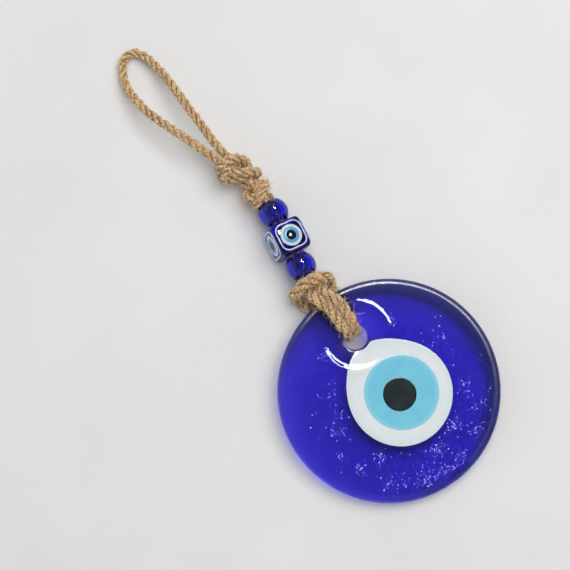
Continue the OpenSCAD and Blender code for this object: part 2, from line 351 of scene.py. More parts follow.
class NodeBench:
    """Adds nodes to a node tree step by step."""

    def __init__(self, tree: bpy.types.NodeTree) -> None:
        """Takes up a node tree."""
        self.tree = tree

    def fill(self, node: bpy.types.Node, **sockets: object) -> bpy.types.Node:
        """Sets inputs of a node.

        Args:
            node: the node.
            sockets: a value, or a socket to link from, for each input, with underscores
                for the spaces of their names.

        Returns:
            The node.
        """
        for key, value in sockets.items():
            target = node.inputs[key.replace("_", " ")]
            if isinstance(value, Socket):
                self.tree.links.new(value, target)
            else:
                target.default_value = value
        return node

    def add(self, kind: str, **sockets: object) -> bpy.types.Node:
        """Adds a node, named without its ShaderNode prefix, and sets its inputs."""
        return self.fill(self.tree.nodes.new("ShaderNode" + kind), **sockets)

    def attribute(self, name: str) -> Socket:
        """Adds a reader of the numbers that a piece carries under a name."""
        node = self.add("Attribute")
        node.attribute_name = name
        return node.outputs["Fac"]

    def ramp(self, source: Socket, stops: Sequence[tuple[float, Colour]]) -> Socket:
        """Adds a colour ramp.

        Args:
            source: the number that drives it.
            stops: position and colour of each stop.

        Returns:
            The ramp's colour socket.
        """
        node = self.add("ValToRGB", Fac=source)
        elements = node.color_ramp.elements
        while len(elements) < len(stops):
            elements.new(0.5)
        for element, (position, colour) in zip(elements, stops):
            element.position = position
            element.color = (*colour, 1)
        return node.outputs["Color"]

    def noise(self, scale: float, detail: float, stretch: Colour = (1, 1, 1), uv: bool = False) -> Socket:
        """Adds a noise pattern.

        Args:
            scale: size of the pattern's steps, per metre or per millimetre of the map.
            detail: octaves of the noise.
            stretch: scaling of the three coordinates.
            uv: reads the thread map in place of Object coordinates.

        Returns:
            The pattern's number socket.
        """
        where = self.add("TexCoord").outputs["UV" if uv else "Object"]
        mapping = self.add("Mapping", Vector=where, Scale=stretch)
        vector = mapping.outputs["Vector"]
        return self.add("TexNoise", Vector=vector, Scale=scale, Detail=detail).outputs["Fac"]

    def mix(self, mode: str, share: float | Socket, a: Socket, b: Socket | Colour) -> Socket:
        """Adds a colour mix.

        Args:
            mode: the blend mode.
            share: the factor, as a number or a socket.
            a: the first colour.
            b: the second colour, as a socket or a fixed colour.

        Returns:
            The mixed colour socket.
        """
        node = self.add("Mix")
        node.data_type = "RGBA"
        node.blend_type = mode
        self.fill(node, Factor=share)
        self.tree.links.new(a, node.inputs[6])
        if isinstance(b, tuple):
            node.inputs[7].default_value = (*b, 1)
        else:
            self.tree.links.new(b, node.inputs[7])
        return node.outputs[2]


class MaterialBench(NodeBench):
    """Builds one material around a principled shader."""

    def __init__(self, name: str) -> None:
        """Starts a material with nothing but its output and its shader."""
        self.material = bpy.data.materials.new(name)
        self.material.use_nodes = True
        super().__init__(self.material.node_tree)
        self.tree.nodes.clear()
        self.shader = self.add("BsdfPrincipled")
        self.output = self.add("OutputMaterial", Surface=self.shader.outputs["BSDF"])

    def set(self, **sockets: object) -> None:
        """Sets inputs of the principled shader."""
        self.fill(self.shader, **sockets)

    def bump(self, height: Socket, strength: float, distance: float) -> None:
        """Roughens the surface by a height pattern of a given depth in metres."""
        node = self.add("Bump", Height=height, Strength=strength, Distance=distance)
        self.set(Normal=node.outputs["Normal"])


@dataclass(frozen=True)
class CobaltGlass:
    """Clear glass coloured all the way through."""

    name: str
    tint: Colour = (0.93, 0.95, 1.0)
    # painted shade: darker, greyer tint for the crescent of shade along the disc's rim
    painted_shade_tint: Colour = (0.64, 0.80, 0.54)
    passes: Colour = (0.124, 0.03, 0.772)
    density: float = 305.0
    roughness: float = 0.015
    smear: float = 0.05
    dull_edge: float = 0.22
    ripple: float = 0.05
    ripple_scale: float = 55.0

    def material(self) -> Material:
        """Builds the see-through blue glass with its pressed ripples and faint smears."""
        bench = MaterialBench(self.name)
        # painted shade: the base colour turns from the tint to the darker painted shade tint where the shade
        # attribute marks the rim's crescent
        tone = bench.ramp(bench.attribute("shade"), [(0.0, self.tint), (1.0, self.painted_shade_tint)])
        spread = bench.add(
            "MapRange", Value=bench.noise(90, 4, (1, 2.2, 1)), From_Min=0.45, From_Max=0.8,
            To_Min=self.roughness, To_Max=self.roughness + self.smear,
        )
        dulled = bench.add("Math")
        dulled.operation = "MULTIPLY_ADD"
        dulled.inputs[1].default_value = self.dull_edge
        bench.tree.links.new(bench.attribute("rim"), dulled.inputs[0])
        bench.tree.links.new(spread.outputs["Result"], dulled.inputs[2])
        bench.set(
            Base_Color=tone, Roughness=dulled.outputs["Value"], IOR=1.5, Transmission_Weight=1.0
        )
        bench.bump(bench.noise(self.ripple_scale, 2), self.ripple, 0.002)
        absorb = bench.add("VolumeAbsorption", Color=(*self.passes, 1), Density=self.density)
        bench.fill(bench.output, Volume=absorb.outputs["Volume"])
        return bench.material


@dataclass(frozen=True)
class FusedGlass:
    """Opaque glass poured in a layer, with an edge that melts into its neighbour."""

    name: str
    colour: Colour
    shade: Colour
    edge: Colour
    melt: float = 0.97
    swirl: float = 0.0
    roughness: float = 0.14
    coat: float = 0.6

    def material(self) -> Material:
        """Builds the glossy layer from its middle colour, its mottling and its melted edge."""
        bench = MaterialBench(self.name)
        mottle = bench.ramp(bench.noise(140, 5), [(0.35, self.shade), (0.62, self.colour)])
        if self.swirl:
            object_place = bench.add("TexCoord").outputs["Object"]
            where = bench.add("Mapping", Vector=object_place, Location=(-0.006, 0.083, 0.0))
            rings = bench.add(
                "TexWave", Vector=where.outputs["Vector"], Scale=150.0, Distortion=5.0, Detail=2.0,
                Detail_Scale=1.5,
            )
            rings.wave_type = "RINGS"
            rings.rings_direction = "Z"
            lines = bench.ramp(rings.outputs["Fac"], [(0.0, (0.62, 0.8, 0.86)), (0.06, (1, 1, 1))])
            mottle = bench.mix("MULTIPLY", self.swirl, mottle, lines)
        melting = [(self.melt - 0.12, (0, 0, 0)), (min(self.melt, 0.999), (1, 1, 1))]
        melted = bench.ramp(bench.attribute("rim"), melting)
        bench.set(
            Base_Color=bench.mix("MIX", melted, mottle, self.edge), Roughness=self.roughness,
            IOR=1.5, Coat_Weight=self.coat, Coat_Roughness=0.03,
        )
        bench.bump(bench.noise(320, 3), 0.06, 0.0006)
        return bench.material


@dataclass(frozen=True)
class JuteFibre:
    """Twisted jute, drawn in streaks along each yarn."""

    name: str
    light: Colour = (0.95, 0.72, 0.43)
    middle: Colour = (0.69, 0.455, 0.235)
    dark: Colour = (0.24, 0.125, 0.055)
    # painted shade colour of the grooves between strands
    groove_shade: Colour = (0.13, 0.062, 0.028)

    def material(self) -> Material:
        """Builds the fibre streaks, the uneven tone and the painted shade in the grooves between strands."""
        bench = MaterialBench(self.name)
        streak = bench.noise(1.0, 5, (0.8, 2.6, 1), uv=True)
        fine = bench.noise(1.0, 3, (1.6, 20.0, 1), uv=True)
        tone = bench.ramp(streak, [(0.34, self.dark), (0.46, self.middle), (0.60, self.light)])
        hairs = bench.ramp(fine, [(0.34, (0.72, 0.68, 0.62)), (0.62, (1.1, 1.09, 1.06))])
        tone = bench.mix("MULTIPLY", 0.8, tone, hairs)
        patches = bench.ramp(bench.noise(170, 2), [(0.38, (0.84, 0.8, 0.76)), (0.62, (1, 1, 1))])
        tone = bench.mix("MULTIPLY", 0.7, tone, patches)
        # painted shade: darker towards the rope's middle, where the grooves between strands lie in shade
        depth = [(0.44, (0.72, 0.72, 0.72)), (0.74, (0, 0, 0))]
        tone = bench.mix("MIX", bench.ramp(bench.attribute("crown"), depth), tone, self.groove_shade)
        bench.set(
            Base_Color=tone, Roughness=0.82, Specular_IOR_Level=0.3, Sheen_Weight=0.35,
            Sheen_Roughness=0.5, Sheen_Tint=(0.9, 0.75, 0.55, 1),
        )
        bench.bump(bench.mix("ADD", 0.6, streak, fine), 0.9, 0.00035)
        return bench.material


@dataclass(frozen=True)
class LooseHair:
    """Single fibres that stand off the rope."""

    name: str
    root: Colour = (0.55, 0.37, 0.21)
    tip: Colour = (0.85, 0.65, 0.42)

    def material(self) -> Material:
        """Builds a pale fibre that varies in tone from hair to hair."""
        bench = MaterialBench(self.name)
        tone = bench.ramp(bench.noise(900, 2), [(0.35, self.root), (0.65, self.tip)])
        bench.set(Base_Color=tone, Roughness=0.7, Sheen_Weight=0.3)
        return bench.material


@dataclass(frozen=True)
class PaleGlaze:
    """Milky lilac glass of the cube's raised lines, pale as a painted highlight, and of the bubbles in the
    disc, glowing as painted glints.
    """

    name: str
    colour: Colour
    shade: Colour
    roughness: float = 0.12
    painted_glint_glow: float = 0.0

    def material(self) -> Material:
        """Builds a glossy pale glass with a drifting tone, and a glow that paints glints when one is given.
        """
        bench = MaterialBench(self.name)
        tone = bench.ramp(bench.noise(420, 3), [(0.3, self.shade), (0.68, self.colour)])
        bench.set(Base_Color=tone, Roughness=self.roughness, Coat_Weight=0.7, Coat_Roughness=0.05)
        # painted glint: the pale glass glows though it is no lamp
        if self.painted_glint_glow:
            bench.set(Emission_Color=tone, Emission_Strength=self.painted_glint_glow)
        return bench.material


@dataclass(frozen=True)
class Finishes:
    """Every material of the hanging, made once."""

    disc_glass: Material
    bead_glass: Material
    white: Material
    light_blue: Material
    black: Material
    small_white: Material
    small_blue: Material
    small_black: Material
    line: Material
    bubble_glint: Material
    jute: Material
    shaded_jute: Material
    hair: Material
    cut_hair: Material

    @staticmethod
    def made() -> "Finishes":
        """Mixes all the finishes."""
        white = (0.80, 0.84, 0.83)
        return Finishes(
            disc_glass=CobaltGlass("disc_cobalt_glass").material(),
            bead_glass=CobaltGlass(
                "bead_cobalt_glass", passes=(0.05, 0.09, 0.945), density=690.0, smear=0.0, ripple=0.015
            ).material(),
            white=FusedGlass("white_fused_glass", white, (0.76, 0.81, 0.80), (0.72, 0.77, 0.8)).material(),
            light_blue=FusedGlass(
                "light_blue_fused_glass", (0.19, 0.62, 0.78), (0.17, 0.57, 0.74),
                (0.30, 0.66, 0.78), melt=0.985, swirl=0.5,
            ).material(),
            black=FusedGlass(
                "black_fused_glass", (0.012, 0.018, 0.02), (0.02, 0.03, 0.032), (0.01, 0.012, 0.015)
            ).material(),
            small_white=FusedGlass(
                "small_eye_white", (0.72, 0.77, 0.77), (0.68, 0.74, 0.75), (0.55, 0.62, 0.75),
                roughness=0.08, coat=0.0,
            ).material(),
            small_blue=FusedGlass(
                "small_eye_blue", (0.12, 0.38, 0.60), (0.10, 0.34, 0.56), (0.68, 0.78, 0.81),
                melt=0.998, roughness=0.08, coat=0.0,
            ).material(),
            small_black=FusedGlass(
                "small_eye_black", (0.004, 0.006, 0.01), (0.008, 0.011, 0.014), (0.004, 0.006, 0.02),
                roughness=0.05, coat=0.0,
            ).material(),
            # painted highlight: pale lilac glaze on the cube's raised lines, standing in for the gleam along
            # each face's edge
            line=PaleGlaze("raised_line_painted_highlight", (0.74, 0.76, 0.95), (0.36, 0.38, 0.8)).material(),
            # painted glint: bright lilac bubbles that glow, standing in for light caught in the glass
            bubble_glint=PaleGlaze("bubble_painted_glint", (0.60, 0.50, 1.0), (0.30, 0.22, 1.0), 0.3, 0.6).material(),
            jute=JuteFibre("twisted_jute").material(),
            # painted shade: a darker copy of the jute for the cord inside the beads, where it lies in shade
            shaded_jute=JuteFibre(
                "jute_inside_beads", (0.58, 0.43, 0.28), (0.38, 0.27, 0.17), (0.18, 0.11, 0.07),
                (0.08, 0.05, 0.03),
            ).material(),
            hair=LooseHair("loose_jute_hair").material(),
            cut_hair=LooseHair("cut_jute_fibre", (0.13, 0.06, 0.03), (0.34, 0.19, 0.10)).material(),
        )


# ------------ studio


@dataclass
class Studio:
    """Camera, floor and soft light around the hanging."""

    target: Colour = (-13.3, -9.1, 7.0)
    distance: float = 900.0
    tilt: float = 8.0
    lens: float = 113.7
    picture_right: tuple[float, float] = (0.829, -0.5593)
    picture_up: tuple[float, float] = (0.5593, 0.829)

    def camera(self) -> None:
        """Sets the camera that looks down on the hanging, a little from its lower side."""
        right = Vector((*self.picture_right, 0)).normalized()
        up = Vector((*self.picture_up, 0)).normalized()
        lean = math.radians(self.tilt)
        back = -up * math.sin(lean) + Vector((0, 0, 1)) * math.cos(lean)
        data = bpy.data.cameras.new("camera")
        data.lens = self.lens
        data.sensor_width = 36
        data.clip_start = 0.02
        data.clip_end = 20
        camera = bpy.data.objects.new("camera", data)
        bpy.context.scene.collection.objects.link(camera)
        turn = Matrix((right, back.cross(right), back)).transposed().to_4x4()
        spot = (Vector(self.target) + back * self.distance) * MM
        camera.matrix_world = Matrix.Translation(spot) @ turn
        bpy.context.scene.camera = camera

    def floor(self) -> None:
        """Lays the plain pale floor under the hanging."""
        bm = bmesh.new()
        bmesh.ops.create_grid(bm, x_segments=1, y_segments=1, size=3000)
        floor = Workshop.finish(bm, "floor", Matrix.Translation((0, 0, -0.4)))
        bench = MaterialBench("pale_floor")
        shades = [(0.3, (0.80, 0.79, 0.77)), (0.7, (0.84, 0.83, 0.815))]
        tone = bench.ramp(bench.noise(14, 3), shades)
        bench.set(Base_Color=tone, Roughness=0.95, Specular_IOR_Level=0.1)
        bench.bump(bench.noise(1100, 3), 0.25, 0.0004)
        floor.data.materials.append(bench.material)

    def lamp(
        self, name: str, azimuth: float, height: float, reach: float, size: tuple[float, float],
        power: float, roll: float = 0.0, offset: float = 0.0,
    ) -> Piece:
        """Hangs a soft lamp that faces the hanging.

        Args:
            name: the lamp's name.
            azimuth: direction of the lamp in degrees, 0 along +X and 90 along +Y.
            height: elevation in degrees.
            reach: distance in millimetres.
            size: width and height in millimetres.
            power: watts.
            roll: turn of the lamp about its own beam in degrees.
            offset: how far the lamp is shifted along its own height, in millimetres.

        Returns:
            The lamp.
        """
        data = bpy.data.lights.new(name, "AREA")
        data.shape = "RECTANGLE"
        data.size, data.size_y = size[0] * MM, size[1] * MM
        data.energy = power
        lamp = bpy.data.objects.new(name, data)
        bpy.context.scene.collection.objects.link(lamp)
        a, e = math.radians(azimuth), math.radians(height)
        way = Vector((math.cos(a) * math.cos(e), math.sin(a) * math.cos(e), math.sin(e)))
        spot = Vector(self.target) * MM + way * reach * MM
        aim = way.to_track_quat("Z", "Y").to_matrix().to_4x4() @ turned(roll, "Z")
        lamp.matrix_world = Matrix.Translation(spot) @ aim @ Matrix.Translation((0, offset * MM, 0))
        return lamp

    @staticmethod
    def room(tree: bpy.types.NodeTree) -> None:
        """Paints the room: pale walls, dimmer overhead and on the side of the window."""
        bench = NodeBench(tree)
        split = bench.add("SeparateXYZ", Vector=bench.add("TexCoord").outputs["Generated"])
        walls = [(0.35, (0.62, 0.64, 0.68)), (0.9, (0.15, 0.155, 0.17))]
        side = bench.add(
            "MapRange", Value=split.outputs["X"], From_Min=-0.1, From_Max=0.9, To_Min=1.05, To_Max=0.3
        )
        bench.fill(
            tree.nodes.get("Background"), Color=bench.ramp(split.outputs["Z"], walls),
            Strength=side.outputs["Result"],
        )

    @staticmethod
    def lit_only(lamps: Sequence[Piece], name: str, pieces: Sequence[Piece]) -> None:
        """Keeps some lamps' light to some pieces.

        Args:
            lamps: the lamps.
            name: the name of the collection that lists the pieces.
            pieces: the only pieces that the lamps shine on.
        """
        shown = bpy.data.collections.new(name)
        for piece in pieces:
            shown.objects.link(piece)
        for lamp in lamps:
            lamp.light_linking.receiver_collection = shown

    def light(self, disc: Sequence[Piece], round_beads: Sequence[Piece]) -> None:
        """Lights the hanging from the upper right, with a pale room around it.

        Args:
            disc: the disc's pieces, the only ones that the long tube gleams on.
            round_beads: the pieces that the three lamp arms gleam on besides the disc's.
        """
        window = self.lamp("window", 12, 69, 1500, (1450, 1450), 20.5)
        window.visible_glossy = False
        gleams = [self.lamp("long_tube", 38, 67, 1100, (1150, 150), 13.5)]
        for i in range(3):
            gleams.append(
                self.lamp(f"lamp_arm_{i}", 50, 55, 900, (60, 260), 2.8, roll=180 + 120 * i, offset=145)
            )
        gleams.append(self.lamp("spot_lamp", 11, 55, 900, (26, 26), 0.13))
        for gleam in gleams:
            gleam.visible_diffuse = False
        self.lit_only(gleams[:1], "lit_by_long_tube", disc)
        self.lit_only(gleams[1:4], "lit_by_lamp_arms", [*disc, *round_beads])
        scene = bpy.context.scene
        scene.world = scene.world or bpy.data.worlds.new("room")
        scene.world.use_nodes = True
        self.room(scene.world.node_tree)
        scene.view_settings.view_transform = "Standard"


# ------------ rope


@dataclass
class JuteRope:
    """A three-strand rope whose strands are twisted from a few yarns each."""

    radius: float = 2.4
    pitch: float = 14.5
    yarn_pitch: float = 8.0
    strands: int = 3
    yarns: int = 4
    step: float = 0.62
    start_turn: float = 0.0
    seed: int = 1

    def yarn_lines(
        self, line: np.ndarray, squeeze: Squeeze | None = None
    ) -> tuple[list[np.ndarray], list[np.ndarray]]:
        """Winds every yarn along a rope's middle line.

        Args:
            line: the rope's middle line, in millimetres.
            squeeze: gives the rope's thickness share at each fraction of its length.

        Returns:
            The middle line and the radii of each yarn.
        """
        rng = np.random.default_rng(self.seed)
        line = even_line(line, self.step)
        run = run_along(line)
        share = np.ones(len(line)) if squeeze is None else squeeze(run / run[-1])
        first, second = carried_axes(line)

        def around(reach: np.ndarray, turn: np.ndarray) -> np.ndarray:
            """Offsets across the line, from how far out and at which turn about it."""
            return (reach * np.cos(turn))[:, None] * first + (reach * np.sin(turn))[:, None] * second

        pack = 1 / (1 + 1 / math.sin(math.pi / self.strands))
        thread = 1 / (1 + 1 / math.sin(math.pi / self.yarns))
        lines, radii = [], []
        for i in range(self.strands):
            turn = math.tau * (run / self.pitch + i / self.strands) + self.start_turn
            wobble = 1 + 0.05 * np.sin(run / 5.3 + rng.uniform(0, 6)) + 0.04 * np.sin(run / 2.1 + i)
            strand_r = self.radius * pack * share * wobble
            spot = line + around(self.radius * (1 - pack) * share, turn)
            for j in range(self.yarns):
                roll = -math.tau * (run / self.yarn_pitch + j / self.yarns) + i
                out = strand_r * (1 - thread) * (1 + 0.10 * np.sin(run / 3.1 + rng.uniform(0, 6)))
                lines.append(spot + around(out, roll))
                thick = 1.27 + 0.14 * np.sin(run / rng.uniform(1.5, 3.5) + rng.uniform(0, 6))
                radii.append(strand_r * thread * thick)
        return lines, radii

    def crown(self, piece: Piece, middle: np.ndarray) -> None:
        """Notes how far each vertex stands from the rope's middle, for the painted shade in the grooves."""
        tree = KDTree(len(middle))
        for i, point in enumerate(middle):
            tree.insert(point, i)
        tree.balance()
        gaps = [tree.find(corner)[2] / self.radius for corner in Workshop.corners(piece)]
        Workshop.note(piece, "crown", np.clip(gaps, 0, 1.2))

    def run(
        self, name: str, node: str, middles: Sequence[np.ndarray], finish: Material,
        body: str | None = None, squeeze: Squeeze | None = None,
    ) -> Piece:
        """Makes one piece of rope from one or more lengths.

        Args:
            name: the piece's name.
            node: the CAD node that it stands for.
            middles: the middle line of each length, in millimetres.
            finish: the rope's material.
            body: the body that it rides on, if any.
            squeeze: gives the thickness share at each fraction of a length.

        Returns:
            The piece.
        """
        lines, radii = [], []
        for middle in middles:
            more, thick = self.yarn_lines(middle, squeeze)
            lines += more
            radii += thick
        lines = [np.column_stack([q[:, :2], np.maximum(q[:, 2], r + CLEAR)]) for q, r in zip(lines, radii)]
        piece = Workshop.threads(name, lines, radii, 1, shift=13.7)
        self.crown(piece, np.vstack([even_line(m, 0.4) for m in middles]))
        return Workshop.dress(piece, finish, "jute_rope", node, body)

    def fuzz(
        self, name: str, middles: Sequence[np.ndarray], per_mm: float, finish: Material,
        longest: float = 3.6, body: str | None = None,
    ) -> Piece:
        """Makes the loose hairs that stand off a rope.

        Args:
            name: the piece's name.
            middles: the middle line of each length, in millimetres.
            per_mm: hairs for each millimetre of rope.
            finish: the hairs' material.
            longest: length of the longest hairs.
            body: the body that they ride on, if any.

        Returns:
            The piece.
        """
        rng = np.random.default_rng(self.seed + 77)
        lines, radii = [], []
        for middle in middles:
            line = even_line(middle, 0.5)
            along = unit(np.gradient(line, axis=0))
            first, second = carried_axes(line)
            for _ in range(int(len(line) * 0.5 * per_mm)):
                i = int(rng.integers(1, len(line) - 1))
                turn = rng.uniform(0, math.tau)
                out = math.cos(turn) * first[i] + math.sin(turn) * second[i]
                across = np.cross(along[i], out)
                way = unit(
                    out * rng.uniform(0.15, 0.9) + along[i] * rng.choice([-1, 1]) * rng.uniform(0.4, 1)
                    + across * rng.uniform(-0.7, 0.7)
                )
                curl = unit(rng.normal(size=3)) * rng.uniform(0.1, 0.5)
                size = longest * rng.uniform(0.2, 1.0) ** 1.6
                t = np.linspace(0, 1, 5)[:, None]
                root = line[i] + out * self.radius * 0.86
                hair = root + way * size * t + curl * size * t**2 * 0.8
                hair[:, 2] = np.maximum(hair[:, 2], CLEAR)
                lines.append(hair)
                radii.append(np.linspace(0.14, 0.06, 5))
        return Workshop.dress(Workshop.threads(name, lines, radii, 0), finish, "jute_rope", body=body)


@dataclass
class OverhandKnot:
    """A knot tied in the doubled rope and pulled tight."""

    thickness: float
    width: float
    length: float
    roll: float
    links: int = 96
    rounds: int = 900
    pull: float = 0.03

    def tightened(self) -> np.ndarray:
        """Pulls a loosely tied overhand knot tight.

        Returns:
            The doubled rope's middle line, along +Y through the knot, in millimetres.
        """
        t = np.linspace(-2.12, 2.12, 700)
        loose = np.stack([t**3 - 3 * t, (t**5 - 10 * t) * 0.32, t**4 - 4 * t**2 + 2], axis=1)
        size = self.links * self.thickness * 0.19
        run = np.linalg.norm(np.diff(loose, axis=0), axis=1).sum()
        chain = even_line(loose * size / run, size / (self.links - 1))
        link = size / (self.links - 1)
        far = np.abs(np.subtract.outer(np.arange(len(chain)), np.arange(len(chain))))
        apart = np.triu(far > 1.9 * self.thickness / link)
        ends = np.array([[0.0, chain[0, 1], 0.0], [0.0, chain[-1, 1], 0.0]])
        for step in range(self.rounds):
            ends[:, 1] += np.sign(ends[:, 1]) * self.pull
            for _ in range(4):
                chain[0] += (ends[0] - chain[0]) * 0.5
                chain[-1] += (ends[1] - chain[-1]) * 0.5
                for odd in (0, 1):
                    a, b = chain[odd:-1:2], chain[odd + 1::2]
                    gap = b - a
                    size_now = np.linalg.norm(gap, axis=1, keepdims=True)
                    push = gap * (1 - link / np.maximum(size_now, 1e-6)) * 0.5
                    chain[odd:-1:2] += push
                    chain[odd + 1::2] -= push
            span = chain[None, :, :] - chain[:, None, :]
            gap = np.linalg.norm(span, axis=2)
            touch = apart & (gap < self.thickness)
            i, j = np.nonzero(touch)
            move = span[i, j] * ((self.thickness - gap[i, j]) / np.maximum(gap[i, j], 1e-6) * 0.25)[:, None]
            np.add.at(chain, i, -move)
            np.add.at(chain, j, move)
            chain[1:-1] += (0.5 * (chain[:-2] + chain[2:]) - chain[1:-1]) * 0.25
            if np.linalg.norm(chain[-1] - ends[1]) > 3 * link and step > 200:
                ends[:, 1] -= np.sign(ends[:, 1]) * self.pull
        return chain

    def middle(self) -> np.ndarray:
        """The tightened line, sized to the knot's width and length and rolled about +Y."""
        chain = self.tightened()
        off = np.hypot(chain[:, 0], chain[:, 2]) > self.thickness * 0.35
        core = chain[np.argmax(off):len(off) - np.argmax(off[::-1])]
        middle = (core.max(axis=0) + core.min(axis=0)) / 2
        size = core.max(axis=0) - core.min(axis=0)
        across = max(size[0], size[2])
        chain = chain - [0, middle[1], 0]
        chain[:, [0, 2]] *= (self.width - self.thickness) / across
        chain[:, 1] *= (self.length - self.thickness) / size[1]
        inside = np.abs(chain[:, 1]) < self.length / 2 + 0.5
        first, last = np.argmax(inside), len(inside) - np.argmax(inside[::-1])
        chain = chain[max(first - 1, 0):last + 1]
        turn = np.array(turned(self.roll, "Y"))[:3, :3]
        return smooth_line(chain @ turn.T, 0.8)


# ------------ glass disc


